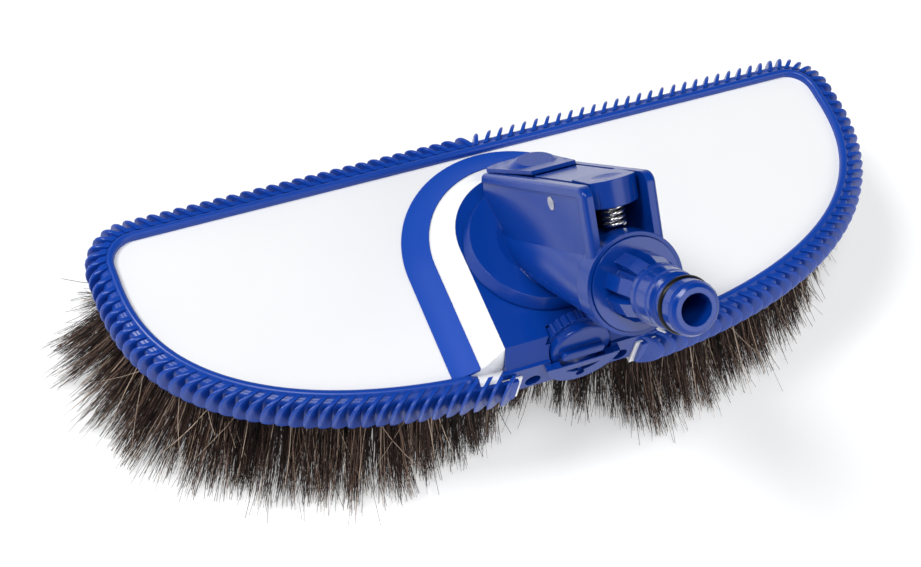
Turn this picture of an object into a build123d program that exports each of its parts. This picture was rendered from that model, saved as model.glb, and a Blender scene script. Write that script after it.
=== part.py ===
from build123d import *
import os
from math import atan2, cos, degrees, hypot, pi, radians, sin

os.makedirs("parts", exist_ok=True)

# Frame: millimetres, +Z up, X along the head, -Y towards the hose end.
# Origin: on the surface the bristle tips stand on, under the middle of the whole brush.
# The outlines are drawn about the plate, and every piece is moved by CENTRE_Y when it is saved.
CENTRE_Y = -1.1

# head
HALF_LENGTH = 128.8      # half length of the visible white plate
BACK_Y = 60.6            # straight back edge of the visible plate
WIDEST_Y = 46.6          # where the front curve starts
FRONT_DEPTH = 68.9       # from WIDEST_Y to the foremost point of the front curve
CURVE_X, CURVE_Y = 2.4, 2.4      # exponents of the front curve
CORNER_R = 8.5           # back corners
PLATE_TOP = 44.0         # flat top of the plate above the bristle tips
PLATE_WALL = 2.5
PLATE_RIM = 3.5          # plate reaches this far under the bumper's ridge
SKIRT_BOTTOM = 32.0
BOARD_TOP, BOARD_BOTTOM = 39.0, 31.0
SCREW_HOLE_R = 1.45

# raised centre
ARCH_Y = 18.7            # common centre of the concentric arches
STRIPE_OUTER, STRIPE_INNER = 41.0, 32.4
BASE_R = 24.5
LEG_FLARE = 1.0
HILL = ((41.6, 43.8, -21.5), (35.0, 46.4, -21.3), (29.5, 50.2, -20.6), (24.6, 54.5, -19.6))
STRIPE_PROUD, STRIPE_SUNK = 0.45, 1.0

# swivel base
BASE_TOP = 54.7
CREASE_Y, CREASE_FOOT_Y, LIP_TOP = -19.6, -23.7, 47.6
LIP_Y, LIP_HALF, CUTOUT_HALF = -24.9, 27.2, 20.2
LIP_BOTTOM, NOSE_BACK_Y = 35.0, -14.6
HOOD_R, HOOD_Y, HOOD_TOP = 13.2, -27.4, 46.6
LIP_HOLE_X, LIP_HOLE_R, LIP_HOLE_Z = 15.5, 2.7, 38.6

# swivel joint
TURRET_Y = 12.7
DISC_R, DISC_TOP_R, DISC_BOTTOM, DISC_TOP = 24.6, 23.0, 55.2, 60.0
SPIGOT_R, SPIGOT_BOTTOM, RUNNING_GAP = 9.0, 44.6, 0.05
HUB_R, HUB_BOTTOM = 12.0, 47.8
TROUGH_R, TROUGH_DEPTH = 20.0, 4.2
NOTCHES = 8

# arm: local frame with Z along the water bore (u) and Y across it, upwards (v)
ARM_TILT = 43.8
FLANGE_Y, FLANGE_Z = -37.3, 104.9
ARM = Plane(
    origin=(0, FLANGE_Y, FLANGE_Z),
    x_dir=(1, 0, 0),
    z_dir=(0, -cos(radians(ARM_TILT)), sin(radians(ARM_TILT))),
)
ARM_HALF, WALL = 11.8, 3.2
WALL_REAR = (-78.8, 24.5)        # (u, v) of the side wall's upper rear corner
WALL_FRONT = (-1.7, 31.2)        # (u, v) of its upper front corner
BAND, BEAD = 3.0, 4.2            # raised rim along the wall's top and front edges
MOUTH_R, BARREL_R, BARREL_REAR_R = 15.4, 14.5, 11.8
SOCKET_R, WATER_R = 12.2, 4.65
PIN_U, PIN_V, PIN_R = -26.6, 22.8, 2.1

# lever, spring
LEVER_HALF, LEVER_FRONT, LEVER_TOP, THUMB_R = 7.3, -3.4, 31.0, 20.0
SKIRT_V, LEVER_END = 22.8, -45.4
SPRING_U, SPRING_R, WIRE_R, SPRING_FOOT, SPRING_HEAD = -8.7, 3.1, 0.55, 15.6, 27.1
PAWL_Y = TURRET_Y + HUB_R + 0.5

# hose nipple
FLANGE_R, TIP_R, NIPPLE_LENGTH = 14.0, 7.85, 35.4

# rear cover
COVER_FRONT, COVER_REAR = -47.0, -77.2
COVER_FRONT_HALF, COVER_REAR_HALF, COVER_T = 7.5, 10.6, 1.3
LUG_R, LUG_RISE, RAIL_LENGTH = 8.4, 3.3, 12.8

# flow dial: axis leans up by DIAL_TILT from straight ahead
DIAL_TILT = 8.0
DIAL_Y, DIAL_Z = -24.2, 48.8     # centre of the dial's front face
DIAL = Plane(
    origin=(0, DIAL_Y, DIAL_Z),
    x_dir=(1, 0, 0),
    z_dir=(0, -cos(radians(DIAL_TILT)), sin(radians(DIAL_TILT))),
)
DIAL_CAP_R, DIAL_RIM_R, DIAL_SHAFT_R = 10.3, 11.7, 4.0
DIAL_SEAL, DIAL_CLIP = -10.2, -14.4      # along the dial's axis, behind its face

# bumper
RIDGE_IN, RIDGE_OUT, RIDGE_TOP = -0.3, 4.4, 46.6
FIN_ROOT, FIN_TIP, FIN_PITCH, FIN_LEAN = 5.0, 9.0, 4.5, 3.0
FIN_FLIP_Y = 48.0        # on both ends the fins lean towards each other here
BUMPER_BOTTOM, FIN_TOP = 33.0, 45.2
RIDGE_GAP_HALF = 34.0

# bristles
SPLAY_FRONT, SPLAY_BACK, SPLAY_INNER = 23.0, 10.0, 15.0
TUFT_INSET, ROW_DEPTH, BACK_ROW, TUFT_GAP = -5.0, 16.0, 9.0, 1.0


def curve_point(t, grow):
    """Point of the front curve at angle t, pushed outwards along its normal by grow."""
    c, s = cos(t), sin(t)
    side = 1 if c >= 0 else -1
    x = side * HALF_LENGTH * abs(c) ** (2 / CURVE_X)
    y = FRONT_DEPTH * abs(s) ** (2 / CURVE_Y)
    nx = side * CURVE_X * (abs(x) / HALF_LENGTH) ** (CURVE_X - 1) / HALF_LENGTH
    ny = CURVE_Y * (y / FRONT_DEPTH) ** (CURVE_Y - 1) / FRONT_DEPTH
    n = hypot(nx, ny)
    return x + grow * nx / n, WIDEST_Y - y - grow * ny / n


def head_outline(grow, back_grow=None):
    """D-shaped plan face of the head, grown outwards; the back edge may grow differently."""
    back = grow if back_grow is None else back_grow
    x_side, y_back = HALF_LENGTH + grow, BACK_Y + back
    r = max(CORNER_R + min(grow, back), 1.0)
    points = [curve_point(pi * i / 24, grow) for i in range(25)]
    front = Spline(*points, tangents=[(0, -1), (0, 1)])
    corner = r * (1 - cos(radians(45)))
    left = Line((-x_side, WIDEST_Y), (-x_side, y_back - r))
    left_arc = ThreePointArc(
        (-x_side, y_back - r), (-x_side + corner, y_back - corner), (-x_side + r, y_back)
    )
    back_line = Line((-x_side + r, y_back), (x_side - r, y_back))
    right_arc = ThreePointArc(
        (x_side - r, y_back), (x_side - corner, y_back - corner), (x_side, y_back - r)
    )
    right = Line((x_side, y_back - r), (x_side, WIDEST_Y))
    return make_face([front, left, left_arc, back_line, right_arc, right])


def slab(face, bottom, top):
    return extrude(Pos(0, 0, bottom) * face, top - bottom)


def rounded_slab(grow, bottom, top, radius):
    """Head-shaped slab whose upper outer edge is rounded."""
    body = slab(head_outline(grow), bottom, top - radius)
    levels = [radians(a) for a in (0, 30, 60, 90)]
    for a, b in zip(levels, levels[1:]):
        low = Pos(0, 0, top - radius + radius * sin(a)) * head_outline(grow - radius * (1 - cos(a)))
        high = Pos(0, 0, top - radius + radius * sin(b)) * head_outline(grow - radius * (1 - cos(b)))
        body += loft([low, high], ruled=True)
    return body


def box(x0, x1, y0, y1, z0, z1):
    return Pos((x0 + x1) / 2, (y0 + y1) / 2, (z0 + z1) / 2) * Box(x1 - x0, y1 - y0, z1 - z0)


def rod(radius, z0, z1, x=0.0, y=0.0):
    return Pos(x, y, (z0 + z1) / 2) * Cylinder(radius, z1 - z0)


def o_ring(major, minor, z):
    return Pos(0, 0, z) * Torus(major, minor)


def arch(r, y_front=-19.6):
    """Plan face of an arch: half circle behind, nearly parallel legs to the front."""
    half = r + LEG_FLARE
    top = ThreePointArc((-r, ARCH_Y), (0, ARCH_Y + r), (r, ARCH_Y))
    right = Line((r, ARCH_Y), (half, y_front))
    front = Line((half, y_front), (-half, y_front))
    left = Line((-half, y_front), (-r, ARCH_Y))
    return make_face([top, right, front, left])


def hill(setback=0.0):
    """Flared rise in the middle of the plate, solid down to the plate's underside."""
    flare = loft([Pos(0, 0, z) * arch(r, y + setback) for r, z, y in HILL])
    foot = slab(arch(HILL[0][0], HILL[0][2] + setback), PLATE_TOP - PLATE_WALL, HILL[0][1])
    return (flare + foot) & slab(head_outline(RIDGE_IN - 0.1 - setback), 30, 70)


def side_profile(*points):
    """Face in the arm's u-v plane, given as (u, v) points; extruded across X."""
    wire = Polyline(*[(0, v, u) for u, v in points], close=True)
    return make_face(wire)


def across(face, half):
    return extrude(face, half, dir=(1, 0, 0), both=True)


def top_edge(u):
    """Height v of the side walls' top edge at u."""
    (u0, v0), (u1, v1) = WALL_REAR, WALL_FRONT
    return v0 + (v1 - v0) * (u - u0) / (u1 - u0)


def screw(length, head_r, shank_r):
    """Pan-head screw with a cross slot, head down at z = 0, shank upwards."""
    head = fillet(rod(head_r, 0, 2.0).edges().group_by(Axis.Z)[0], 0.7)
    slot = Box(head_r, 0.7, 1.6) + Box(0.7, head_r, 1.6)
    return head + rod(shank_r, 2.0, length) - slot


def top_plate():
    sheet = slab(head_outline(PLATE_RIM), PLATE_TOP - PLATE_WALL, PLATE_TOP)
    skirt = slab(head_outline(PLATE_RIM) - head_outline(PLATE_RIM - 2.2), SKIRT_BOTTOM, PLATE_TOP)
    rib = slab(head_outline(-2.0) - head_outline(-4.5), BOARD_TOP + 1.0, PLATE_TOP - 1)
    plate = sheet + skirt + rib + hill()
    plate -= Pos(0, 0, -PLATE_WALL - 0.1) * hill(2.2)
    plate -= slab(arch(BASE_R + 0.05, CREASE_Y), 30, 60)
    nose_half = BASE_R + LEG_FLARE + 0.05
    plate -= box(-nose_half, nose_half, -60, CREASE_Y + 1.1, PLATE_TOP, 60)
    plate -= box(-CUTOUT_HALF, CUTOUT_HALF, -60, -19, 30, 60)
    bosses = [rod(3.4, BOARD_TOP, PLATE_TOP - 1, x, y) - rod(SCREW_HOLE_R, BOARD_TOP, PLATE_TOP - 1.2, x, y)
              for x, y in board_screw_places()]
    for boss in bosses:
        plate += boss
    return plate - stripe()


def stripe():
    rise = hill()
    band = slab(arch(STRIPE_OUTER, -21.4) - arch(STRIPE_INNER, -21.4), 40, 60)
    raised = Pos(0, 0, STRIPE_PROUD) * rise
    lowered = Pos(0, 0, -STRIPE_SUNK) * rise
    return (band & raised) - lowered


def board_screw_places():
    return [(x * side, y) for side in (-1, 1) for x, y in ((106, 44), (98, 16), (58, 48), (62, -2))]


def bristle_board():
    board = slab(head_outline(PLATE_RIM - 2.6), BOARD_BOTTOM, BOARD_TOP)
    board -= box(-CUTOUT_HALF, CUTOUT_HALF, -60, NOSE_BACK_Y + 0.2, 30, 40)
    for side in (-1, 1):
        for x in (20, 42, 64, 86):
            board -= rod(2.0, 30, 40, side * x, TURRET_Y)
    for x, y in board_screw_places():
        board -= rod(1.6, 30, 40, x, y)
        board -= rod(3.4, 30, BOARD_BOTTOM + 2.4, x, y)
    for x, y in base_screw_places():
        board -= rod(1.6, 30, 40, x, y)
        board -= rod(3.4, 30, BOARD_BOTTOM + 2.4, x, y)
    return board


def base_screw_places():
    return [(x * side, y) for side in (-1, 1) for x, y in ((17.0, -13.0), (15.0, 33.0))]


def swivel_base():
    body = slab(arch(BASE_R, CREASE_Y), BOARD_TOP + 0.1, BASE_TOP)
    face = Plane.YZ * make_face(Polyline(
        (CREASE_Y + 1, BASE_TOP), (CREASE_Y, BASE_TOP), (CREASE_FOOT_Y, LIP_TOP),
        (CREASE_FOOT_Y, LIP_BOTTOM), (CREASE_Y + 1, LIP_BOTTOM), close=True))
    nose = across(face, BASE_R + LEG_FLARE)
    body += nose & box(-30, 30, -40, 0, PLATE_TOP, 60)
    half = CUTOUT_HALF - 0.2
    body += box(-half, half, CREASE_FOOT_Y - 0.1, NOSE_BACK_Y, LIP_BOTTOM, PLATE_TOP)
    lip = box(-LIP_HALF, LIP_HALF, LIP_Y, CREASE_FOOT_Y + 0.2, PLATE_TOP + 0.1, LIP_TOP)
    lip += box(-half, half, LIP_Y, CREASE_FOOT_Y + 0.2, LIP_BOTTOM, LIP_TOP)
    body += lip
    hood = DIAL * (Pos(0, 0, -1) * Cylinder(HOOD_R, 12))
    body += hood & box(-20, 20, HOOD_Y, CREASE_FOOT_Y + 3, 30, HOOD_TOP)
    # hollow underside with a thick roof, hub for the spigot, dial pocket and shaft bore
    cavity = slab(arch(BASE_R - 2.6, -12.0), BOARD_TOP, HUB_BOTTOM)
    body -= cavity
    body += rod(HUB_R + 2.5, HUB_BOTTOM - 0.4, HUB_BOTTOM + 2, 0, TURRET_Y)
    for x, y in base_screw_places():
        body += rod(3.2, BOARD_TOP + 0.1, HUB_BOTTOM + 1, x, y)
        body -= rod(SCREW_HOLE_R, BOARD_TOP, HUB_BOTTOM - 1, x, y)
    trough = rod(TROUGH_R, BASE_TOP - TROUGH_DEPTH, BASE_TOP + 1, 0, TURRET_Y)
    trough -= rod(HUB_R, BASE_TOP - TROUGH_DEPTH, BASE_TOP + 1, 0, TURRET_Y)
    body -= trough
    for i in range(NOTCHES):
        tooth_gap = Pos(0, TURRET_Y, BASE_TOP - 1) * Rot(0, 0, 360 / NOTCHES * i)
        body -= tooth_gap * Pos(0, HUB_R - 0.5, 0) * Box(4.8, 2.6, 5)
    body -= rod(SPIGOT_R + RUNNING_GAP, 30, 60, 0, TURRET_Y)
    pocket = DIAL * (Pos(0, 0, -5.1) * Cylinder(DIAL_RIM_R + 0.6, 4.8))
    pocket += DIAL * (Pos(0, 0, -1.6) * Cylinder(DIAL_CAP_R + 0.5, 4.0))
    above_hood = box(-20, 20, -60, 0, HOOD_TOP - 0.2, 80)
    pocket += DIAL * (Pos(0, 0, 6) * Cylinder(DIAL_CAP_R + 0.5, 14)) & above_hood
    body -= pocket + DIAL * (Pos(0, 0, 1.2) * Cylinder(8.2, 2.4))
    body -= DIAL * (Pos(0, 0, -12) * Cylinder(DIAL_SHAFT_R + RUNNING_GAP, 20))
    body -= DIAL * (Pos(0, 0, -15.6) * Cylinder(6.0, 4.6))
    for side in (-1, 1):
        body -= Pos(side * LIP_HOLE_X, LIP_Y + 2, LIP_HOLE_Z) * (Rot(90, 0, 0) * Cylinder(LIP_HOLE_R, 7))
    body -= Pos(0, HOOD_Y, 39.6) * (Rot(90, 0, 0) * Cylinder(1.5, 2.4))
    return body


def glide_washer():
    return rod(HUB_R - 2.0, BASE_TOP, DISC_BOTTOM - 0.05, 0, TURRET_Y) - rod(
        SPIGOT_R + 0.2, BASE_TOP - 1, DISC_BOTTOM, 0, TURRET_Y)


def barrel(grow=0.0):
    """Round water barrel with its wider mouth, in the arm frame."""
    cone = Pos(0, 0, -34) * Cone(BARREL_REAR_R + grow, BARREL_R + grow, 52)
    tail = Pos(0, 0, -70) * Cylinder(BARREL_REAR_R + grow, 22)
    mouth = Pos(0, 0, -4.3) * Cylinder(MOUTH_R + grow, 7.4)
    return cone + tail + mouth


def wall_recess(front):
    """Drafted sides of the arm inside the rim; they lean in towards the barrel."""
    cut = None
    for side in (-1, 1):
        section = make_face(Polyline(
            (side * (ARM_HALF + 2), 32), (side * (ARM_HALF - 0.35), 32),
            (side * (ARM_HALF - 1.3), 0), (side * (ARM_HALF + 2), 0), close=True))
        wedge = extrude(Pos(0, 0, -90) * section, 90 + front)
        cut = wedge if cut is None else cut + wedge
    below_band = side_profile(
        (-90, top_edge(-90) - BAND), (front, top_edge(front) - BAND), (front, -1), (-90, -1))
    return cut & across(below_band, 20)


def arm_housing():
    disc = Pos(0, TURRET_Y, (DISC_BOTTOM + DISC_TOP) / 2) * Cone(
        DISC_R, DISC_TOP_R, DISC_TOP - DISC_BOTTOM)
    dish_r = 48.0
    dish_sag = 2.2
    dish = Pos(0, TURRET_Y, DISC_TOP + dish_r - dish_sag) * Sphere(dish_r)
    disc -= dish & rod(DISC_TOP_R - 1.2, 50, 70, 0, TURRET_Y)
    front_u, front_v = WALL_FRONT
    rear_u, rear_v = WALL_REAR
    walls = across(side_profile(
        (rear_u, rear_v), (front_u, front_v), (front_u, 0), (-62, 0), (-84, 14)), ARM_HALF)
    front_edges = walls.edges().filter_by(Axis.X).group_by(Axis.Z)[-1]
    walls = fillet(front_edges.sort_by(Axis.Y)[-1:], 3.4)
    walls = fillet(walls.edges().filter_by(Axis.Y).group_by(Axis.Z)[-1], 1.4)
    walls -= wall_recess(front_u - BEAD)
    shell = walls + barrel()
    # open channel between the walls, down to the round top of the barrel
    channel = box(-ARM_HALF + WALL, ARM_HALF - WALL, 4, 40, -75.8, 8)
    shell -= channel - barrel() - box(-20, 20, -20, 6.0, -80, 10)
    arm = ARM * shell
    arm &= box(-40, 40, -60, 36.2, DISC_BOTTOM, 140)
    arm += disc
    arm += rod(SPIGOT_R, SPIGOT_BOTTOM, DISC_BOTTOM + 1, 0, TURRET_Y)
    # pawl window through the disc, behind the hub
    arm -= box(-3.2, 3.2, PAWL_Y - 1.0, PAWL_Y + 7.4, 50, 78)
    arm -= ARM * (Pos(0, 0, -9) * Cylinder(SOCKET_R, 22))
    arm -= ARM * (Pos(0, 0, -1) * Cylinder(FLANGE_R + 0.15, 3.4))
    arm -= ARM * (Pos(0, 0, -36) * Cylinder(WATER_R, 52))
    arm -= rod(WATER_R, 40, 66, 0, TURRET_Y)
    arm -= ARM * (Pos(0, PIN_V, PIN_U) * (Rot(0, 90, 0) * Cylinder(PIN_R + 0.02, 40)))
    groove = rod(SPIGOT_R + 1, 50.0, 52.2, 0, TURRET_Y) - rod(7.1, 49, 53, 0, TURRET_Y)
    clip_groove = rod(SPIGOT_R + 1, 45.4, 47.2, 0, TURRET_Y) - rod(7.6, 45, 48, 0, TURRET_Y)
    return arm - groove - clip_groove


def retaining_ring():
    ring = rod(HUB_R, 45.5, 47.1, 0, TURRET_Y) - rod(7.65, 45, 48, 0, TURRET_Y)
    return ring - box(-2.4, 2.4, TURRET_Y, TURRET_Y + 20, 45, 48)


def pivot_seal():
    return Pos(0, TURRET_Y, 0) * o_ring(8.07, 0.93, 51.1)


def hose_stem():
    """Plug, flange, ribbed boss and click-on nipple, one moulding, in the arm frame."""
    body = Pos(0, 0, -10) * Cylinder(SOCKET_R - 0.05, 18)
    body -= Pos(0, 0, -12) * Cylinder(13, 2.4) - Pos(0, 0, -12) * Cylinder(10.4, 4)
    body += Pos(0, 0, -1) * Cylinder(FLANGE_R, 2.2)
    body += Pos(0, 0, 7.5) * Cylinder(7.5, 15)
    rib = extrude(Plane.YZ * make_face(Polyline(
        (5, 0), (10.0, 0), (9.8, 8.0), (8.4, 13.2), (5, 13.2), close=True)), 2.3, both=True)
    for i in range(8):
        body += Rot(0, 0, 22.5 + 45 * i) * rib
    nipple = make_face(Polyline(
        (0, 13.5), (9.0, 13.5), (9.0, 15.5), (8.6, 16.2), (8.6, 21.4), (8.3, 22.2), (8.3, 23.6),
        (7.2, 24.4), (7.2, 26.6), (7.85, 27.2), (7.85, 28.0), (6.3, 28.0), (6.3, 30.2), (TIP_R, 30.2),
        (TIP_R, 33.6), (6.9, NIPPLE_LENGTH), (0, NIPPLE_LENGTH), close=True))
    body += revolve(Plane.XZ * nipple, Axis.Z)
    body -= Pos(0, 0, 10) * Cylinder(WATER_R, 60)
    rim = body.edges().filter_by(GeomType.CIRCLE).sort_by(Axis.Z)[-1:]
    return ARM * chamfer(rim, 0.7)


def stem_seal():
    return ARM * o_ring(11.2, 0.78, -12)


def nipple_seal():
    return ARM * o_ring(7.4, 1.05, 29.1)


def release_lever():
    """Two-armed lever: thumb button in front, pawl behind, in the arm frame."""
    front, end = LEVER_FRONT, LEVER_END
    top = side_profile(
        (front, LEVER_TOP), (end, top_edge(end) + 0.1), (end, top_edge(end) - 2.4),
        (front, LEVER_TOP - 2.4))
    lever = across(top, LEVER_HALF)
    skirt = side_profile((front, LEVER_TOP), (-18, LEVER_TOP - 0.7), (-18, SKIRT_V + 2), (front, SKIRT_V))
    hollow = side_profile((front - 1.4, LEVER_TOP - 2.4), (-20, LEVER_TOP - 3), (-20, 20), (front - 1.4, 20))
    lever += across(skirt, LEVER_HALF) - across(hollow, LEVER_HALF - 1.7)
    # round the button's front end in plan
    lever &= Pos(0, 25, LEVER_FRONT - 12.0) * (Rot(90, 0, 0) * Cylinder(12.0, 30)) + box(
        -10, 10, 0, 50, -60, LEVER_FRONT - 10)
    # thumb dish
    lever -= Pos(0, LEVER_TOP + THUMB_R - 0.9, -10.5) * Sphere(THUMB_R)
    spring_post = Pos(0, 27.2, SPRING_U) * (Rot(90, 0, 0) * Cylinder(2.2, 4.2))
    lever += spring_post
    # boss round the pin and the web down to the rear arm
    boss = Pos(0, PIN_V, PIN_U) * (Rot(0, 90, 0) * Cylinder(3.8, 2 * LEVER_HALF))
    web = side_profile(
        (PIN_U + 3, LEVER_TOP - 3), (PIN_U - 14, LEVER_TOP - 4.4), (-60, 18.6), (-67, 14.6),
        (-58, 13.8), (PIN_U - 10, 19.6), (PIN_U, PIN_V - 3.4), (PIN_U + 3.4, PIN_V))
    lever += boss + across(web, 2.4)
    lever -= Pos(0, PIN_V, PIN_U) * (Rot(0, 90, 0) * Cylinder(PIN_R + 0.05, 40))
    lever = ARM * lever
    foot = BASE_TOP - TROUGH_DEPTH + 1.2
    pawl = box(-2.1, 2.1, PAWL_Y, PAWL_Y + 2.2, foot, 71.8)
    pawl += box(-2.1, 2.1, 18.6, PAWL_Y + 2.2, 69.1, 71.8)
    return lever + pawl


def lever_pin():
    return ARM * (Pos(0, PIN_V, PIN_U) * (Rot(0, 90, 0) * Cylinder(PIN_R, 2 * ARM_HALF - 0.8)))


def lever_spring():
    height = SPRING_HEAD - SPRING_FOOT - 2 * WIRE_R
    path = Helix(pitch=height / 6.5, height=height, radius=SPRING_R)
    start = path.position_at(0)
    section = Plane(origin=start, z_dir=path.tangent_at(0)) * Circle(WIRE_R)
    coil = sweep(section, path=path, is_frenet=True)
    upright = Pos(0, SPRING_FOOT + WIRE_R, SPRING_U) * (Rot(-90, 0, 0) * coil)
    return ARM * upright


def rear_cover():
    """D-shaped sliding cover with a slanted thumb lug, in a plane along the walls' top edge."""
    slope = degrees(atan2(WALL_FRONT[1] - WALL_REAR[1], WALL_FRONT[0] - WALL_REAR[0]))
    length = COVER_FRONT - COVER_REAR
    outline = make_face([
        Line((-COVER_FRONT_HALF, 0), (COVER_FRONT_HALF, 0)),
        Line((COVER_FRONT_HALF, 0), (COVER_REAR_HALF, length)),
        ThreePointArc((COVER_REAR_HALF, length), (0, length + 6.4), (-COVER_REAR_HALF, length)),
        Line((-COVER_REAR_HALF, length), (-COVER_FRONT_HALF, 0)),
    ])
    plate = extrude(outline, COVER_T)
    mid = length * 0.56
    dome_r = (LUG_R ** 2 + LUG_RISE ** 2) / (2 * LUG_RISE)
    lug = Pos(0, mid, COVER_T + LUG_RISE - dome_r) * Sphere(dome_r)
    lug &= box(-LUG_R, LUG_R, mid - LUG_R, mid + LUG_R, 0.2, 20)
    facet = Plane.YZ * make_face(Polyline(
        (mid - LUG_R + 0.6, COVER_T), (mid + 3.4, COVER_T + LUG_RISE), (mid + 3.4, 20), (mid - 12, 20),
        (mid - 12, COVER_T), close=True))
    plate += lug - across(facet, 12)
    plate -= Pos(7.4, mid - 9.6, COVER_T) * Cylinder(0.7, 1.6)
    for x in (-5.8, 5.8):
        plate += box(x - 0.6, x + 0.6, 1, RAIL_LENGTH, -1.6, 0.2)
    seat = top_edge(COVER_FRONT) + 0.25
    place = Plane(
        origin=(0, seat, COVER_FRONT),
        x_dir=(1, 0, 0),
        z_dir=(0, cos(radians(slope)), -sin(radians(slope))),
    )
    return ARM * (place * plate)


def flow_dial():
    cap = Pos(0, 0, -1.6) * Cylinder(DIAL_CAP_R, 3.2)
    cap = fillet(cap.edges().sort_by(Axis.Z)[-1:], 0.8)
    rim = Pos(0, 0, -5.1) * Cylinder(DIAL_RIM_R, 4.0)
    for i in range(30):
        rim -= Rot(0, 0, 12 * i) * (Pos(DIAL_RIM_R, 0, -5.1) * Cylinder(0.62, 6))
    grip = Pos(0, 0, 0.9) * Box(15.0, 3.4, 2.2)
    grip = fillet(grip.edges().filter_by(Axis.Z), 1.5)
    grip = fillet(grip.edges().group_by(Axis.Z)[-1], 0.6)
    shaft = Pos(0, 0, -11.7) * Cylinder(DIAL_SHAFT_R, 9.6)
    shaft -= Pos(0, 0, DIAL_SEAL) * Cylinder(6, 1.5) - Pos(0, 0, DIAL_SEAL) * Cylinder(2.85, 4)
    shaft -= Pos(0, 0, DIAL_CLIP) * Cylinder(6, 1.1) - Pos(0, 0, DIAL_CLIP) * Cylinder(3.0, 4)
    return DIAL * (cap + rim + grip + shaft)


def dial_seal():
    return DIAL * o_ring(3.45, 0.53, DIAL_SEAL)


def dial_clip():
    clip = Pos(0, 0, DIAL_CLIP) * (Cylinder(5.4, 0.9) - Cylinder(3.05, 2))
    return DIAL * (clip - Pos(0, 6, DIAL_CLIP) * Box(3.4, 12, 3))


def chamber_gasket():
    return slab(head_outline(-1.4) - head_outline(-5.0), BOARD_TOP, BOARD_TOP + 1.0) - box(
        -CUTOUT_HALF - 6, CUTOUT_HALF + 6, -60, -10, 30, 60)


def outline_walk(grow, step):
    """Points and outward normals along the outline's right half, back middle to front middle."""
    places = []
    r = CORNER_R + grow
    cx, cy = HALF_LENGTH - CORNER_R, BACK_Y - CORNER_R
    places += [(x, BACK_Y + grow, 0.0, 1.0) for x in (0, cx)]
    places += [(cx + r * sin(a), cy + r * cos(a), sin(a), cos(a))
               for a in (radians(6 * i) for i in range(1, 15))]
    places.append((HALF_LENGTH + grow, cy, 1.0, 0.0))
    for i in range(121):
        t = pi / 2 * i / 120
        x, y = curve_point(t, grow)
        x0, y0 = curve_point(t, grow - 1)
        places.append((x, y, x - x0, y - y0))
    walk, travelled, due = [], 0.0, step / 2
    for a, b in zip(places, places[1:]):
        span = hypot(b[0] - a[0], b[1] - a[1])
        while span > 0 and travelled + span >= due:
            f = (due - travelled) / span
            walk.append(tuple(p + (q - p) * f for p, q in zip(a, b)))
            due += step
        travelled += span
    return walk


def fin_comb():
    """Plan face of the finned bumper wall: teeth leaning towards each end's back corner."""
    half = []
    reach = FIN_TIP - FIN_ROOT
    for x, y, nx, ny in outline_walk(FIN_ROOT, FIN_PITCH):
        at_flip = abs(y - FIN_FLIP_Y) < FIN_PITCH / 2
        at_cutout = y < 0 and x < CUTOUT_HALF + 1.6
        if at_flip or at_cutout:
            continue
        tx, ty = ny, -nx
        lean = FIN_LEAN if y > FIN_FLIP_Y else -FIN_LEAN
        for along, out in ((-0.8, 0), (-0.6 + lean, reach), (0.6 + lean, reach), (0.8, 0)):
            half.append((x + tx * along + nx * out, y + ty * along + ny * out))
    mirrored = [(-x, y) for x, y in reversed(half)]
    return make_face(Polyline(*half, *mirrored, close=True))


def bumper():
    frame = slab(fin_comb(), BUMPER_BOTTOM, FIN_TOP) + rounded_slab(RIDGE_OUT, FIN_TOP - 2, RIDGE_TOP, 1.6)
    frame -= slab(head_outline(RIDGE_IN), 20, 60)
    frame -= slab(head_outline(PLATE_RIM), 20, PLATE_TOP)
    gap = box(-RIDGE_GAP_HALF, RIDGE_GAP_HALF, -60, 0, PLATE_TOP - 0.3, 60)
    gap += box(-CUTOUT_HALF - 0.6, CUTOUT_HALF + 0.6, -60, 0, 20, 60)
    return frame - gap


def bristle_fan():
    """Outer shape of the whole brush filling, spreading towards the tips."""
    roots = Pos(0, 0, BOARD_BOTTOM) * head_outline(TUFT_INSET)
    tips = head_outline(TUFT_INSET + SPLAY_FRONT, TUFT_INSET + SPLAY_BACK)
    return loft([tips, roots], ruled=True)


def inner_fan(grow):
    """The inner fields of bristles, which spread less than the outer rows."""
    tips = head_outline(grow - ROW_DEPTH + SPLAY_INNER, grow - BACK_ROW)
    roots = Pos(0, 0, BOARD_BOTTOM) * head_outline(grow - ROW_DEPTH, grow - BACK_ROW)
    return loft([tips, roots], ruled=True)


def tuft_blocks():
    """Bristle bundles: outer front rows, back rows and the inner fields, left and right."""
    fan = bristle_fan()
    core = inner_fan(0.0)
    shell = fan - inner_fan(TUFT_GAP) - core
    split_y = BACK_Y - BACK_ROW
    left = {
        "front_tufts": shell & box(-170, -4, -60, split_y, -1, 40),
        "back_tufts": shell & box(-170, -1.5, split_y + TUFT_GAP, 90, -1, 40),
        "inner_tufts": core & box(-170, -1.5, -60, 90, -1, 40),
    }
    blocks = {f"{name}_left": block for name, block in left.items()}
    blocks |= {f"{name}_right": mirror(block, Plane.YZ) for name, block in left.items()}
    return blocks


def board_screws():
    lift = BOARD_BOTTOM + 0.2
    return [Pos(x, y, lift) * screw(10.1, 3.0, 1.4) for x, y in board_screw_places()]


def base_screws():
    lift = BOARD_BOTTOM + 0.2
    return [Pos(x, y, lift) * screw(14.0, 3.0, 1.4) for x, y in base_screw_places()]


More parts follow.
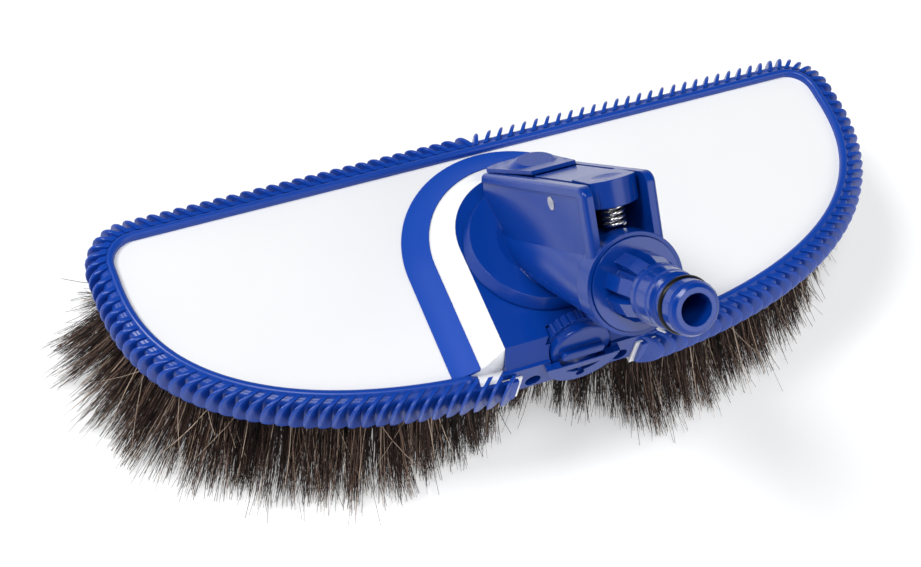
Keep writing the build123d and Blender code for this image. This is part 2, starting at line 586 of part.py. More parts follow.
PARTS = {
    "top_plate": top_plate,
    "centre_stripe": stripe,
    "bumper": bumper,
    "bristle_board": bristle_board,
    "chamber_gasket": chamber_gasket,
    "swivel_base": swivel_base,
    "glide_washer": glide_washer,
    "arm_housing": arm_housing,
    "pivot_seal": pivot_seal,
    "retaining_ring": retaining_ring,
    "hose_stem": hose_stem,
    "stem_seal": stem_seal,
    "nipple_seal": nipple_seal,
    "release_lever": release_lever,
    "lever_pin": lever_pin,
    "lever_spring": lever_spring,
    "rear_cover": rear_cover,
    "flow_dial": flow_dial,
    "dial_seal": dial_seal,
    "dial_clip": dial_clip,
}

def save(name, solids):
    shift = Pos(0, CENTRE_Y, 0)
    export_step(Compound(children=[shift * solid for solid in solids]), f"parts/{name}.step")


if __name__ == "__main__":
    for name, make in PARTS.items():
        save(name, [make()])
    save("board_screws", board_screws())
    save("base_screws", base_screws())
    for name, block in tuft_blocks().items():
        save(name, [block])
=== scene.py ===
import math

import bpy
import numpy as np
from mathutils import Matrix, Vector


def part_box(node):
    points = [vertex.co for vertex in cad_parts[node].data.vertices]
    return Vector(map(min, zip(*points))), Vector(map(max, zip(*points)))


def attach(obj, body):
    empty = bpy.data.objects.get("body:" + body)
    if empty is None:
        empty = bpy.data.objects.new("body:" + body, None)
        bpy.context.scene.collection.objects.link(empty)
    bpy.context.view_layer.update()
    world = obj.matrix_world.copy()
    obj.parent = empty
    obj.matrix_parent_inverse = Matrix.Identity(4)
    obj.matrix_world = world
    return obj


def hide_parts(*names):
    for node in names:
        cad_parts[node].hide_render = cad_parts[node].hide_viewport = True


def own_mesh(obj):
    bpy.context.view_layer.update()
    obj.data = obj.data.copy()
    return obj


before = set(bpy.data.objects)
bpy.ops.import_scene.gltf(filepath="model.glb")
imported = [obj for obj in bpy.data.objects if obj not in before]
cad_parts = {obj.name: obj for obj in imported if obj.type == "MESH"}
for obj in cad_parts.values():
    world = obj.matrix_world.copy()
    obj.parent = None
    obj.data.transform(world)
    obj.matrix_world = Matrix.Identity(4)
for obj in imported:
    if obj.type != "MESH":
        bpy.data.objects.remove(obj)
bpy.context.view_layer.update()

MM = 0.001
rng = np.random.default_rng(7)


# ---------------------------------------------------------------- the head's outline

plate_low, plate_high = (np.array(corner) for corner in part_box("top_plate"))
board_low, board_high = (np.array(corner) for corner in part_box("bristle_board"))
_, bumper_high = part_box("bumper")

PLATE_RIM = 3.5 * MM       # the plate runs on this far under the bumper's ridge
END_RUN = 14.0 * MM        # from the widest place to the straight back edge
CORNER_R = 8.5 * MM        # the two back corners
CURVE = 2.4                # power of the front's curve, where 2 would be an ellipse
RIDGE_RISE = 2.6 * MM      # the bumper's top above the plate's edge

HALF_LENGTH = plate_high[0] - PLATE_RIM
BACK_Y = plate_high[1] - PLATE_RIM
WIDEST_Y = BACK_Y - END_RUN
FRONT_DEPTH = WIDEST_Y - plate_low[1] - PLATE_RIM
PLATE_TOP = bumper_high[2] - RIDGE_RISE

EDGE_STEP = 1 * MM         # step of the outline that depths are measured from
CURVE_POINTS, CORNER_POINTS, BACK_POINTS = 1500, 80, 400


def lengths_along(points):
    """Distance from the first point to each point, along the line through them."""
    steps = np.linalg.norm(np.diff(points, axis=0), axis=1)
    return np.concatenate([[0], np.cumsum(steps)])


def even_count(length, step):
    """How many steps of about this size fill the length, as an even number."""
    return int(round(length / step / 2)) * 2


def outline(step):
    """Points round the plate's edge, from the middle of the front by the right end and the back to
    the front again, with the outward normal and the way along at each."""
    turn = np.linspace(1.5 * math.pi, 2 * math.pi, CURVE_POINTS)
    front = np.stack([HALF_LENGTH * np.abs(np.cos(turn)) ** (2 / CURVE),
                      WIDEST_Y - FRONT_DEPTH * np.abs(np.sin(turn)) ** (2 / CURVE)], 1)
    corner_x, corner_y = HALF_LENGTH - CORNER_R, BACK_Y - CORNER_R
    end = np.stack([np.full(CORNER_POINTS, HALF_LENGTH),
                    np.linspace(WIDEST_Y, corner_y, CORNER_POINTS)], 1)
    bend = np.linspace(0, math.pi / 2, CORNER_POINTS)
    corner = np.stack([corner_x + CORNER_R * np.cos(bend), corner_y + CORNER_R * np.sin(bend)], 1)
    back = np.stack([np.linspace(corner_x, 0, BACK_POINTS), np.full(BACK_POINTS, BACK_Y)], 1)
    half = np.concatenate([front, end[1:], corner[1:], back[1:]])
    loop = np.concatenate([half, (half * (-1, 1))[::-1][1:-1]])
    closed = np.concatenate([loop, loop[:1]])
    run = lengths_along(closed)
    count = even_count(run[-1], step)
    at = np.arange(count) * run[-1] / count
    points = np.stack([np.interp(at, run, closed[:, i]) for i in (0, 1)], 1)
    ahead = np.roll(points, -1, 0) - np.roll(points, 1, 0)
    ahead /= np.linalg.norm(ahead, axis=1)[:, None]
    normal = np.stack([ahead[:, 1], -ahead[:, 0]], 1)
    return points, normal, ahead


def inside_depth(points):
    """How far each point lies inside the plate's edge, and the edge's outward normal beside it."""
    edge, normal, _ = outline(EDGE_STEP)
    gap = points[:, None] - edge[None]
    nearest = (gap ** 2).sum(2).argmin(1)
    depth = -(gap[np.arange(len(points)), nearest] * normal[nearest]).sum(1)
    return depth, normal[nearest]


def read_off(table, place):
    """The value at a place of the line through (place, value) pairs."""
    places, values = zip(*table)
    return np.interp(place, places, values)


# ---------------------------------------------------------------- materials

NOISE_LOW, NOISE_HIGH = 0.3, 0.7   # most of a noise texture's values lie between these
SKIN_DEPTH = 0.1 * MM
METAL_DARK = 0.7                   # a metal's darkest streaks, as a share of its colour
STREAK_SHARE = 0.25                # how much the fine streaks shift a hair's own shade


def nodes_for(name):
    material = bpy.data.materials.new(name)
    material.use_nodes = True
    tree = material.node_tree
    return material, tree, tree.nodes["Principled BSDF"]


def set_inputs(node, values):
    for key, value in values.items():
        node.inputs[key].default_value = value


def add(tree, kind, **values):
    """A new node, with each value put on the socket or the setting of that name."""
    node = tree.nodes.new(kind)
    for key, value in values.items():
        if key in node.inputs:
            node.inputs[key].default_value = value
        else:
            setattr(node, key, value)
    return node


def noise(tree, scale, detail, **values):
    """Noise that is fixed to the object."""
    place = add(tree, "ShaderNodeTexCoord")
    node = add(tree, "ShaderNodeTexNoise", Scale=scale, Detail=detail, **values)
    tree.links.new(place.outputs["Object"], node.inputs["Vector"])
    return node.outputs["Fac"]


def ramp(tree, source, stops):
    """Colours along a value, from (place, colour) pairs."""
    node = tree.nodes.new("ShaderNodeValToRGB")
    band = node.color_ramp
    while len(band.elements) < len(stops):
        band.elements.new(0.5)
    for element, (place, colour) in zip(band.elements, stops):
        element.position = place
        element.color = (*colour, 1)
    tree.links.new(source, node.inputs["Fac"])
    return node.outputs["Color"]


def uneven_gloss(tree, shader, source, low, high, ends=(0.0, 1.0)):
    """Roughness that follows a noise between two values."""
    gloss = add(tree, "ShaderNodeMapRange")
    set_inputs(gloss, {"From Min": ends[0], "From Max": ends[1], "To Min": low, "To Max": high})
    tree.links.new(source, gloss.inputs["Value"])
    tree.links.new(gloss.outputs["Result"], shader.inputs["Roughness"])


def moulded(name, dark, light, rough, coat=0.0, grain=1400.0, bump=0.02, edge=0.35 * MM,
            shine=0.5):
    """Moulded plastic: faint clouds of colour, uneven gloss, a fine skin and softened edges."""
    material, tree, shader = nodes_for(name)
    clouds = noise(tree, scale=12.0, detail=3.0)
    skin = noise(tree, scale=grain, detail=4.0, Roughness=0.6)
    colour = ramp(tree, clouds, [(NOISE_LOW, dark), (NOISE_HIGH, light)])
    tree.links.new(colour, shader.inputs["Base Color"])
    uneven_gloss(tree, shader, skin, rough * 0.9, rough * 1.12, ends=(NOISE_LOW, NOISE_HIGH))
    height = add(tree, "ShaderNodeBump", Strength=bump, Distance=SKIN_DEPTH)
    tree.links.new(skin, height.inputs["Height"])
    if edge:
        soft = add(tree, "ShaderNodeBevel", samples=6, Radius=edge)
        tree.links.new(soft.outputs["Normal"], height.inputs["Normal"])
    tree.links.new(height.outputs["Normal"], shader.inputs["Normal"])
    set_inputs(shader, {"IOR": 1.5, "Specular IOR Level": shine,
                        "Coat Weight": coat, "Coat Roughness": 0.12})
    return material


def metal(name, colour, rough):
    """Drawn metal: fine streaks of shade and gloss."""
    material, tree, shader = nodes_for(name)
    streaks = noise(tree, scale=600.0, detail=5.0)
    low = tuple(c * METAL_DARK for c in colour)
    shades = ramp(tree, streaks, [(NOISE_LOW, low), (NOISE_HIGH, colour)])
    tree.links.new(shades, shader.inputs["Base Color"])
    uneven_gloss(tree, shader, streaks, rough * 0.6, rough * 1.4)
    set_inputs(shader, {"Metallic": 1.0})
    return material


def hair_material(name, stops, rough):
    """Hair: each strand's own shade, with finer streaks along it."""
    material, tree, shader = nodes_for(name)
    shade = add(tree, "ShaderNodeAttribute", attribute_name="shade")
    streaks = noise(tree, scale=1500.0, detail=2.0)
    shift = add(tree, "ShaderNodeMath", operation="SUBTRACT")
    shift.inputs[1].default_value = STREAK_SHARE / 2
    tree.links.new(shade.outputs["Fac"], shift.inputs[0])
    mixed = add(tree, "ShaderNodeMath", operation="MULTIPLY_ADD")
    mixed.inputs[1].default_value = STREAK_SHARE
    tree.links.new(streaks, mixed.inputs[0])
    tree.links.new(shift.outputs["Value"], mixed.inputs[2])
    tree.links.new(ramp(tree, mixed.outputs["Value"], stops), shader.inputs["Base Color"])
    set_inputs(shader, {"Roughness": rough, "Specular IOR Level": 0.22})
    return material


BLUE_LOW, BLUE_HIGH = (0.0010, 0.033, 0.250), (0.0016, 0.040, 0.300)
blue = moulded("blue_plastic", BLUE_LOW, BLUE_HIGH, 0.22, shine=0.32)
blue_top = moulded("blue_top", BLUE_LOW, BLUE_HIGH, 0.25, shine=0.2)
blue_stem = moulded("blue_stem", BLUE_LOW, BLUE_HIGH, 0.18, coat=0.1, shine=0.4)
blue_matt = moulded("blue_stripe", (0.006, 0.058, 0.380), (0.009, 0.066, 0.420), 0.45,
                    edge=0.25 * MM, shine=0.15)
blue_soft = moulded("blue_soft", (0.003, 0.046, 0.320), (0.005, 0.054, 0.370), 0.3,
                    bump=0.03, edge=0, shine=0.4)
white = moulded("white_plastic", (0.86, 0.865, 0.87), (0.90, 0.90, 0.90), 0.16,
                coat=0.3, grain=500.0, bump=0.015)
board_white = moulded("board_plastic", (0.30, 0.30, 0.31), (0.36, 0.36, 0.37), 0.5, edge=0)
washer_white = moulded("washer_plastic", (0.70, 0.70, 0.68), (0.78, 0.78, 0.76), 0.4, edge=0)
seal_black = moulded("seal_rubber", (0.003, 0.003, 0.003), (0.006, 0.006, 0.006), 0.3,
                     grain=1500.0, edge=0, shine=0.2)
steel = metal("steel", (0.72, 0.71, 0.69), 0.22)
hair_brown = hair_material("hair", [
    (0.00, (0.004, 0.0019, 0.0016)), (0.30, (0.021, 0.0105, 0.0085)),
    (0.55, (0.080, 0.044, 0.034)), (0.80, (0.240, 0.150, 0.110)),
    (1.00, (0.780, 0.620, 0.480))], 0.5)

FINISH = {
    "top_plate": white, "centre_stripe": blue_matt, "bumper": blue_soft,
    "bristle_board": board_white, "chamber_gasket": seal_black, "board_screws": steel,
    "swivel_base": blue, "glide_washer": washer_white, "base_screws": steel,
    "arm_housing": blue, "pivot_seal": seal_black, "retaining_ring": washer_white,
    "hose_stem": blue_stem, "stem_seal": seal_black, "nipple_seal": seal_black,
    "release_lever": blue, "lever_pin": steel, "lever_spring": steel, "rear_cover": blue_top,
    "flow_dial": blue, "dial_seal": seal_black, "dial_clip": steel,
}
for name, material in FINISH.items():
    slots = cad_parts[name].data.materials
    slots.clear()
    slots.append(material)


# ---------------------------------------------------------------- mesh helpers

def new_object(name, data):
    piece = bpy.data.objects.new(name, data)
    bpy.context.scene.collection.objects.link(piece)
    return piece


def new_piece(name, points, faces, material, body, slot, sharp=50.0):
    """A piece that rides a body; edges that turn more than `sharp` degrees stay crisp."""
    mesh = bpy.data.meshes.new(name)
    mesh.from_pydata([tuple(p) for p in points], [], faces)
    mesh.validate()
    mesh.materials.append(material)
    mesh.shade_smooth()
    mesh.set_sharp_from_angle(angle=math.radians(sharp))
    piece = new_object(name, mesh)
    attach(piece, body)
    return piece


def sweep(rings):
    """Points and faces of a skin through a list of equal rings, with both ends capped."""
    n, m = len(rings), len(rings[0])
    faces = []
    for i in range(n - 1):
        for k in range(m):
            after = (k + 1) % m
            faces.append((i * m + k, i * m + after, (i + 1) * m + after, (i + 1) * m + k))
    faces.append(tuple(range(m))[::-1])
    faces.append(tuple(range((n - 1) * m, n * m)))
    return np.concatenate(rings), faces


# ---------------------------------------------------------------- bumper: ridge, wall and fins

RIDGE = [  # section of the soft frame, mm: outward from the plate's edge, height above the plate
    (-0.3, 0.0), (-0.25, 1.3), (0.1, 2.0), (0.8, 2.35), (1.6, 2.3), (2.2, 1.8), (2.6, 1.25),
    (3.4, 1.1), (4.4, 0.8), (5.0, 0.1), (5.2, -0.9), (5.0, -11.0), (3.6, -11.0),
    (3.6, -0.05), (1.5, -0.05)]
RIDGE_STEP = 1.2 * MM
WALL_GAP = 20.8 * MM       # half the front cutout, where the wall stops
RIDGE_GAP = 34 * MM        # half the stretch of the front that has no ridge
RIDGE_FADE = 3 * MM        # the ridge comes up to its full height over this length
SUNK = 0.1                 # mm below the plate's edge, where the ridge has faded out

FIN = [    # one fin, level by level, mm: height above the plate, reach of inner and outer edge
    (2.1, 2.2, 4.0), (1.9, 2.4, 5.6), (1.4, 2.8, 6.9), (0.5, 3.6, 7.8), (-1.0, 4.6, 8.5),
    (-3.0, 4.6, 8.8), (-5.4, 4.6, 8.7), (-7.6, 4.6, 8.2), (-9.6, 4.6, 7.2), (-11.2, 4.6, 6.0),
    (-12.0, 4.6, 5.2)]
FIN_ROOT = 0.85            # half the thickness at the inner edge, mm
FIN_RIM = [(0.7, 0.74), (0.2, 0.52), (0.0, 0.2)]   # mm in from the outer edge, half thickness
FIN_PIVOT = 2.6            # reach about which a fin leans, mm
FIN_FOOT, FOOT_BEND = -7.6, 0.22   # below this height, mm, the foot bends back by this slope
FIN_PITCH = 4.5 * MM       # between the fins, along the line of their tips
TIP_LINE = 10              # mm from the plate's edge to that line
TIP_STEP = 0.3 * MM        # step of the outline that the fins' places are picked from
LEAN_BACK = [(108, 0.74), (120, 0.5)]                         # |x| in mm, lean along the back
LEAN_ROUND = [(-8, 1.0), (14, 0.72), (37, 0.0), (60, -0.5)]   # y in mm, lean elsewhere
FIN_GAP = WALL_GAP + 1 * MM
MIDDLE_PAIR = [(-0.45, -0.9), (0.45, 0.9)]                    # lean and mm aside, back's middle


def place_on_edge(p, n, a, out, up, along):
    return p[0] + n[0] * out + a[0] * along, p[1] + n[1] * out + a[1] * along, PLATE_TOP + up


def bumper_frame():
    """The soft frame's ridge and wall, open at the cutout in the front."""
    rings = []
    for p, n, a in zip(*outline(RIDGE_STEP)):
        in_front = p[1] < 0
        if in_front and abs(p[0]) < WALL_GAP:
            continue
        fade = min(max((abs(p[0]) - RIDGE_GAP) / RIDGE_FADE, 0.0), 1.0) if in_front else 1.0
        ring = []
        for out, up in RIDGE:
            height = up * fade - SUNK * (1 - fade) if up > 0 else up
            ring.append(place_on_edge(p, n, a, out * MM, height * MM, 0.0))
        rings.append(np.array(ring))
    return sweep(rings)


def fin_lean(x, y):
    """Sideways lean of a fin per unit of reach, along the walk round the edge. On both long edges
    the fins lean towards the ends of the head, and round each end the lean turns over."""
    side = 1.0 if x > 0 else -1.0
    on_back_edge = y > BACK_Y - 0.2 * MM
    if on_back_edge:
        return -side * read_off(LEAN_BACK, abs(x) / MM)
    return side * read_off(LEAN_ROUND, y / MM)


def fin_mesh(p, n, a, lean, aside):
    """One blade: a rounded lobe that leans along the edge, with a thin rim and a bent foot."""
    rings = []
    for up, inner, outer in FIN:
        bend = FOOT_BEND * max(FIN_FOOT - up, 0.0) * np.clip(lean * 3, -1, 1)
        face = [(inner, FIN_ROOT)] + [(outer - back, half) for back, half in FIN_RIM]
        ring = []
        for out, half in face + [(out, -half) for out, half in reversed(face)]:
            shift = lean * (out - FIN_PIVOT) - bend + half + aside
            ring.append(place_on_edge(p, n, a, out * MM, up * MM, shift * MM))
        rings.append(np.array(ring))
    return sweep(rings)


def fin_places():
    """Equal steps along the line of the fins' tips, so they stay close round the corners."""
    points, normal, ahead = outline(TIP_STEP)
    run = lengths_along(points + normal * TIP_LINE * MM)
    count = even_count(run[-1], FIN_PITCH)
    index = np.searchsorted(run, np.arange(count) * run[-1] / count)
    return points[index], normal[index], ahead[index]


def fins():
    """All the fins but those of the front cutout; the back's middle has one leaning each way."""
    all_points, all_faces = [], []
    for p, n, a in zip(*fin_places()):
        if p[1] < 0 and abs(p[0]) < FIN_GAP:
            continue
        middle = p[1] > 0 and abs(p[0]) < 0.6 * FIN_PITCH
        for lean, aside in MIDDLE_PAIR if middle else [(fin_lean(*p), 0.0)]:
            points, faces = fin_mesh(p, n, a, lean, aside)
            start = len(all_points)
            all_points += list(points)
            all_faces += [tuple(start + i for i in face) for face in faces]
    return all_points, all_faces


ridge_piece = new_piece("bumper_ridge", *bumper_frame(), blue_soft, "head", "soft_blue")
fin_piece = new_piece("bumper_fins", *fins(), blue_soft, "head", "soft_blue", sharp=38.0)
for piece in (ridge_piece, fin_piece):
    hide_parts("bumper")


# ---------------------------------------------------------------- the lever's spring


def spring():
    """The spring again, as a piece with a mesh of its own that rides the arm."""
    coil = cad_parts["lever_spring"]
    piece = new_object("spring_coil", coil.data.copy())
    piece.matrix_world = coil.matrix_world.copy()
    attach(piece, "arm")
    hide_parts("lever_spring")
    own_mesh(piece)


spring()


# ---------------------------------------------------------------- hair: where the tufts stand

EDGE_ROWS = [(6.0, 4.2), (10.0, 4.4), (14.0, 4.8)]   # depth inside the edge and pitch, mm
ROW_JITTER = 0.4 * MM
FIELD_HALF, FIELD_X, FIELD_Y = 118, 5.6, 5.2   # the inner field: half its length, pitches, mm
FIELD_FRONT, FIELD_BACK = 20, 18               # mm left free before and behind it
FIELD_DEPTH = 18 * MM                          # it starts this far inside the edge
MIDDLE_GAP = 3.2 * MM                          # half the bare strip along the middle
CUTOUT_HALF, CUTOUT_DEPTH = 22 * MM, 9 * MM    # bare board behind the front cutout


def tuft_places():
    """Holes of the bristle board: rows that follow the edge, then a field inside them."""
    places = []
    for depth, pitch in EDGE_ROWS:
        points, normal, ahead = outline(pitch * MM)
        jitter = rng.normal(0, ROW_JITTER, (len(points), 1))
        places.append(points - normal * depth * MM + ahead * jitter)
    xs = np.arange(-FIELD_HALF, FIELD_HALF + 0.1, FIELD_X) * MM
    ys = np.arange(plate_low[1] / MM + FIELD_FRONT, BACK_Y / MM - FIELD_BACK, FIELD_Y) * MM
    field = np.array([(x + i % 2 * FIELD_X / 2 * MM, y) for i, y in enumerate(ys) for x in xs])
    places.append(field[inside_depth(field)[0] > FIELD_DEPTH])
    places = np.concatenate(places)
    across = np.abs(places[:, 0])
    bare = across < MIDDLE_GAP
    bare |= (across < CUTOUT_HALF) & (places[:, 1] < board_low[1] + CUTOUT_DEPTH)
    return places[~bare]


# ---------------------------------------------------------------- hair: how it lies

FAN_FRONT = [(5, 24.0), (10, 19.5), (14, 14.5), (20, 9.0), (34, 2.0)]   # tuft's depth, reach, mm
FAN_BACK = [(5, 11.0), (10, 8.0), (14, 5.0), (20, 2.0), (34, 0.0)]
END_EXTRA, CORNER_EXTRA = 4.0, 6.0      # mm more at both ends, and at the left back corner
PARTING = [(-62, 1.0), (-36, 0.55), (-15, 0.2), (-4, 0.2), (8, 0.55), (22, 1.0), (70, 0.9),
           (112, 0.55)]                 # x in mm, share of the fan along the front
RIGHT_END = [(70, 1.0), (112, 0.5)]     # the same for the rest of the edge

OUTER_ROW, SECOND_ROW, THIRD_ROW = 8 * MM, 12 * MM, 17 * MM   # depths that part the rows
HAIRS = 66, 48, 28, 12                  # in a tuft of each row, and of the field
ROOT_DEPTH = 1.5 * MM                   # how far the hair stands in the board
ROOT_SPREAD, TIP_SPREAD = 0.8 * MM, 1.2 * MM
ROOT_SHARE = 0.7                        # of a hair's place in its root, kept at its tip
FULL_FAN, WIDENING = 20 * MM, 1.3       # a tuft that reaches this far spreads this much more
TUFT_REACH, TUFT_SWAY = (0.86, 1.08), 1.9 * MM
TUFT_DROP = 2.5 * MM                    # the most by which a tuft falls short of the floor
SHORTFALL = 0.14                        # spread of the share of its reach that a hair lacks
SHORT_RISE = 0.5                        # share of the board's height that a lacking hair rises
BACK_DROP = 0.3                         # the back's tufts fall short by this share of the drop
TIP_HEIGHT = 0.15 * MM                  # the longest hairs end just above the floor
BOW = 1.7 * MM
STRAYS, STRAY_REACH, STRAY_LIMIT = 0.05, 5.0 * MM, 9 * MM
TONE_SPREAD = 0.07                      # between tufts
SHADE_SHAPE, PALEST = (1.05, 1.8), 0.86    # of the ordinary hairs' shades
LIGHT_HAIRS, WILD_HAIRS = 0.03, 0.004   # shares of pale hairs, and of long pale ones astray
WILD_ASIDE, WILD_UP, WILD_BOW = (-26, 26), (2, 14), (2, 7)   # mm
RADIUS = 0.12, 0.24                     # mm at the root
PAST_FRONT, PAST_BACK = 26 * MM, 24 * MM   # farthest the tips go past the board

# The y of the edge's normal, -1 at the middle of the front and 1 on the back edge, tells the sides.
NEAR_MIDDLE, ROUND_FRONT, ON_BACK = -0.8, -0.2, 0.6


def fade_inward(depth):
    """1 near the edge, falling to 0 at 16 mm inside it."""
    return np.clip((16 - depth / MM) / 10, 0, 1)


def fan_of(places, depth, n):
    """How far the tips of each tuft stand outside its root, along the edge's normal."""
    x = places[:, 0] / MM
    outer, back = read_off(FAN_FRONT, depth / MM), read_off(FAN_BACK, depth / MM)
    facing = np.clip((0.98 - n[:, 1]) / 0.3, 0, 1)
    fan = back + (outer - back) * facing
    fan = fan + END_EXTRA * np.abs(n[:, 0]) ** 3 * fade_inward(depth)
    corner = np.clip((n[:, 1] - 0.15) / 0.3, 0, 1) * np.clip((0.98 - n[:, 1]) / 0.15, 0, 1)
    fan = fan + CORNER_EXTRA * (corner * (x < 0)) * fade_inward(depth)
    in_front = n[:, 1] < NEAR_MIDDLE
    return np.where(in_front, fan * read_off(PARTING, x), fan * read_off(RIGHT_END, x)) * MM


def comb(places, depth, n, side, tuft):
    """Roots and tips of all hairs; `tuft` says which tuft each one grows from."""
    total = len(tuft)
    board_z = board_low[2]
    fan = fan_of(places, depth, n)
    front = np.clip((0.62 - n[:, 1]) / 0.6, 0, 1)
    root_spread = rng.normal(0, ROOT_SPREAD, (total, 2))
    tuft_tip = places + n * (fan * rng.uniform(*TUFT_REACH, len(fan)))[:, None]
    tuft_tip = tuft_tip + side * rng.normal(0, TUFT_SWAY, len(fan))[:, None]
    tuft_drop = rng.uniform(0.0, TUFT_DROP, len(places)) * (BACK_DROP + (1 - BACK_DROP) * front)
    roots = np.column_stack([places[tuft] + root_spread, np.full(total, board_z + ROOT_DEPTH)])
    reach = 1.0 - np.abs(rng.normal(0, SHORTFALL, total))
    wide = 1.0 + WIDENING * np.clip(fan[tuft] / FULL_FAN, 0, 1)
    spread = rng.normal(0, TIP_SPREAD, (total, 2)) * wide[:, None] + root_spread * ROOT_SHARE
    full = tuft_tip[tuft] + spread
    tips = np.column_stack([
        roots[:, :2] + (full - roots[:, :2]) * reach[:, None],
        TIP_HEIGHT + tuft_drop[tuft] + (1 - reach) * board_z * SHORT_RISE])
    return roots, tips


def scatter_strays(tips):
    """Some tips stand aside and higher."""
    stray = rng.random(len(tips)) < STRAYS
    count = int(stray.sum())
    tips[stray, :2] += np.clip(rng.normal(0, STRAY_REACH, (count, 2)), -STRAY_LIMIT, STRAY_LIMIT)
    tips[stray, 2] += np.abs(rng.normal(0, STRAY_REACH, count))


def hair_shades(tufts, tuft):
    """Each hair's shade, 0 dark to 1 pale, round its tuft's own tone."""
    tuft_tone = rng.normal(0, TONE_SPREAD, tufts)
    shade = np.clip(rng.beta(*SHADE_SHAPE, len(tuft)) + tuft_tone[tuft], 0, PALEST)
    light = rng.random(len(tuft)) < LIGHT_HAIRS
    shade[light] = rng.uniform(PALEST, 1.0, int(light.sum()))
    return shade


def throw_wild(wild, tips, bow, shade, n, side):
    """A few long pale hairs lie across the others."""
    count = int(wild.sum())
    tips[wild, :2] += side[wild] * rng.uniform(*WILD_ASIDE, (count, 1)) * MM
    tips[wild, 2] += rng.uniform(*WILD_UP, count) * MM
    bow[wild, :2] += n[wild] * rng.uniform(*WILD_BOW, (count, 1)) * MM
    shade[wild] = rng.uniform(0.9, 1.0, count)


# ---------------------------------------------------------------- hair: meshes

SIDES, SEGMENTS = 3, 5             # of one hair
TAPER = 0.62                       # share of the radius lost by the tip
KNEE = 0.30, 0.30, 0.55            # where a hair's bend is pulled to, as shares of its span
SIDEWAYS = np.array([0.31, 0.95, 0.02])   # a direction that no hair follows


def strands(roots, tips, shade, radius, bow):
    """Thin tapering tubes from roots to tips, bowed sideways by bow, as one mesh's arrays."""
    t = np.linspace(0, 1, SEGMENTS + 1)
    knee = roots + (tips - roots) * KNEE + bow
    curve = ((1 - t) ** 2)[None, :, None] * roots[:, None]
    curve = curve + (2 * t * (1 - t))[None, :, None] * knee[:, None]
    curve = curve + (t ** 2)[None, :, None] * tips[:, None]
    way = np.gradient(curve, axis=1)
    way /= np.linalg.norm(way, axis=2)[..., None]
    side = np.cross(way, SIDEWAYS)
    side /= np.linalg.norm(side, axis=2)[..., None]
    up = np.cross(way, side)
    width = radius[:, None] * (1 - TAPER * t)[None]
    angle = (np.arange(SIDES) * 2 * math.pi / SIDES)[None, None, :, None]
    ring = np.cos(angle) * side[:, :, None] + np.sin(angle) * up[:, :, None]
    points = curve[:, :, None] + ring * width[:, :, None, None]
    k = np.arange(SIDES)
    after = (k + 1) % SIDES
    band = np.stack([k, after, SIDES + after, SIDES + k], 1)
    quads = np.concatenate([s * SIDES + band for s in range(SEGMENTS)])
    each = (SEGMENTS + 1) * SIDES
    faces = (np.arange(len(roots)) * each)[:, None, None] + quads[None]
    return points.reshape(-1, 3), faces.reshape(-1, 4), np.repeat(shade, each)


def hair_piece(name, points, faces, tone, nodes):
    """One mesh of many hairs, with each hair's shade as an attribute."""
    mesh = bpy.data.meshes.new(name)
    mesh.vertices.add(len(points))
    mesh.vertices.foreach_set("co", points.astype(np.float32).ravel())
    mesh.loops.add(faces.size)
    mesh.loops.foreach_set("vertex_index", faces.astype(np.int32).ravel())
    mesh.polygons.add(len(faces))
    mesh.polygons.foreach_set("loop_start", np.arange(len(faces), dtype=np.int32) * 4)
    mesh.update(calc_edges=True)
    mesh.validate()
    mesh.materials.append(hair_brown)
    layer = mesh.attributes.new("shade", "FLOAT", "POINT")
    layer.data.foreach_set("value", tone.astype(np.float32))
    mesh.shade_smooth()
    piece = new_object(name, mesh)
    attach(piece, "head")
    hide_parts(*nodes)


def grow_hair():
    """All the hair, as six pieces: front, back and inner, each left and right."""
    places = tuft_places()
    depth, n = inside_depth(places)
    side = np.stack([-n[:, 1], n[:, 0]], 1)
    rows = [depth < OUTER_ROW, depth < SECOND_ROW, depth < THIRD_ROW]
    tuft = np.repeat(np.arange(len(places)), np.select(rows, HAIRS[:3], HAIRS[3]))
    total = len(tuft)
    roots, tips = comb(places, depth, n, side, tuft)
    scatter_strays(tips)
    bow = np.column_stack([rng.normal(0, BOW, (total, 2)), np.zeros(total)])
    shade = hair_shades(len(places), tuft)
    radius = rng.uniform(*RADIUS, total) * MM
    outer = depth[tuft] < SECOND_ROW
    wild = (rng.random(total) < WILD_HAIRS) & outer & (n[tuft, 1] < ROUND_FRONT)
    throw_wild(wild, tips, bow, shade, n[tuft], side[tuft])
    tips[:, :2] = np.clip(tips[:, :2], board_low[:2] - PAST_FRONT, board_high[:2] + PAST_BACK)
    left = roots[:, 0] < 0
    back = (n[tuft, 1] > ON_BACK) & outer
    for part, in_part in (("front", outer & ~back), ("back", back), ("inner", ~outer)):
        for hand, in_half in (("left", left), ("right", ~left)):
            pick = in_part & in_half
            made = strands(roots[pick], tips[pick], shade[pick], radius[pick], bow[pick])
            hair_piece(f"hair_{part}_{hand}", *made, [f"{part}_tufts_{hand}"])


grow_hair()


# ---------------------------------------------------------------- floor, light and camera

FLOOR_HALF = 6
AIM = (0, 0, 0.05)                 # the lamps point at the head
LAMPS = [                          # name, place, width, power
    ("key", (-2.25, 0.9, 3.25), 1.2, 100),
    ("fill", (1.75, -3.0, 2.25), 2.2, 38),
    ("top", (-0.6, -0.8, 4.0), 1.4, 70)]
SKY = [                            # height of the view direction, colour
    (0.10, (1.0, 1.0, 1.0)), (0.18, (0.60, 0.61, 0.63)), (0.35, (0.44, 0.45, 0.47)),
    (0.70, (0.03, 0.04, 0.05))]
VIEW_FORWARD, VIEW_RIGHT = (0.3151, 0.4701, -0.8245), (0.9148, -0.3817, 0.1319)
VIEW_PLACE = (-0.2097, -0.2627, 0.5260)
LENS, SENSOR = 70.6, 36.0          # mm


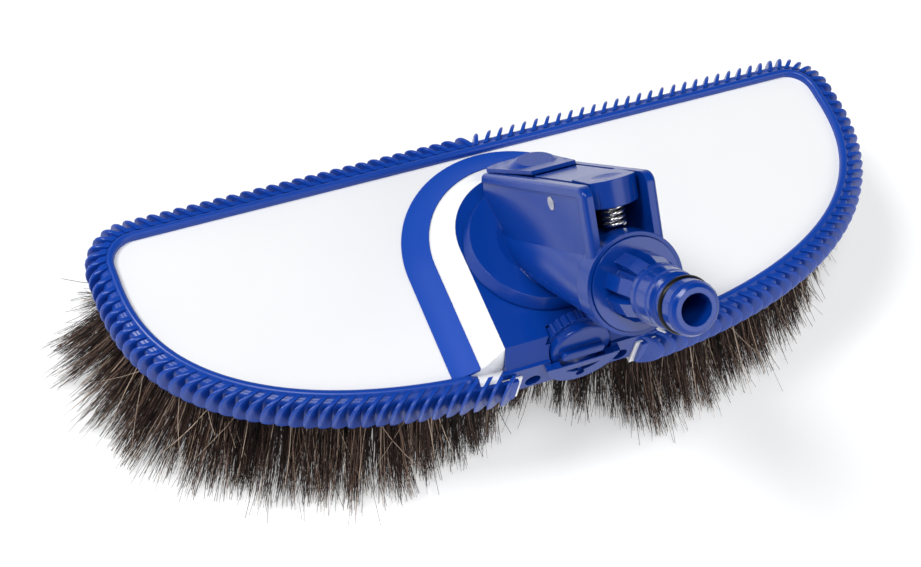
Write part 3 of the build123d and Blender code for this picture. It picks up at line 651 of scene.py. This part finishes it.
def floor():
    """A plain pale floor that glows a little, so that the shadows stay light."""
    material, tree, shader = nodes_for("floor")
    clouds = noise(tree, scale=2.0, detail=2.0)
    greys = ramp(tree, clouds, [(0.2, (0.66,) * 3), (0.8, (0.68,) * 3)])
    tree.links.new(greys, shader.inputs["Base Color"])
    set_inputs(shader, {"Roughness": 0.9, "Emission Color": (1, 1, 1, 1),
                        "Emission Strength": 0.38})
    mesh = bpy.data.meshes.new("floor")
    corners = [(-1, -1), (1, -1), (1, 1), (-1, 1)]
    mesh.from_pydata([(x * FLOOR_HALF, y * FLOOR_HALF, 0) for x, y in corners], [], [(0, 1, 2, 3)])
    mesh.materials.append(material)
    piece = new_object("floor", mesh)


def lamp(name, place, width, power):
    data = bpy.data.lights.new(name, "AREA")
    data.shape = "RECTANGLE"
    data.size = data.size_y = width
    data.energy = power
    piece = new_object(name, data)
    piece.location = place
    piece.rotation_euler = (Vector(AIM) - Vector(place)).to_track_quat("-Z", "Y").to_euler()


def studio():
    """A white horizon and a dim ceiling, with three soft lamps."""
    world = bpy.data.worlds.new("studio")
    bpy.context.scene.world = world
    world.use_nodes = True
    tree = world.node_tree
    way = tree.nodes.new("ShaderNodeTexCoord")
    parts = tree.nodes.new("ShaderNodeSeparateXYZ")
    tree.links.new(way.outputs["Generated"], parts.inputs["Vector"])
    background = tree.nodes["Background"].inputs
    tree.links.new(ramp(tree, parts.outputs["Z"], SKY), background["Color"])
    background["Strength"].default_value = 1.0
    for values in LAMPS:
        lamp(*values)


def camera():
    """The photograph's place: high up, to the left of the hose end, rolled a little."""
    forward = Vector(VIEW_FORWARD).normalized()
    right = Vector(VIEW_RIGHT)
    right = (right - forward * right.dot(forward)).normalized()
    up = right.cross(forward)
    data = bpy.data.cameras.new("camera")
    data.lens, data.sensor_width = LENS, SENSOR
    data.clip_start, data.clip_end = 0.02, 50.0
    piece = new_object("camera", data)
    turn = Matrix((right, up, -forward)).transposed().to_4x4()
    piece.matrix_world = Matrix.Translation(VIEW_PLACE) @ turn
    bpy.context.scene.camera = piece


floor()
studio()
camera()
bpy.context.scene.view_settings.view_transform = "Standard"
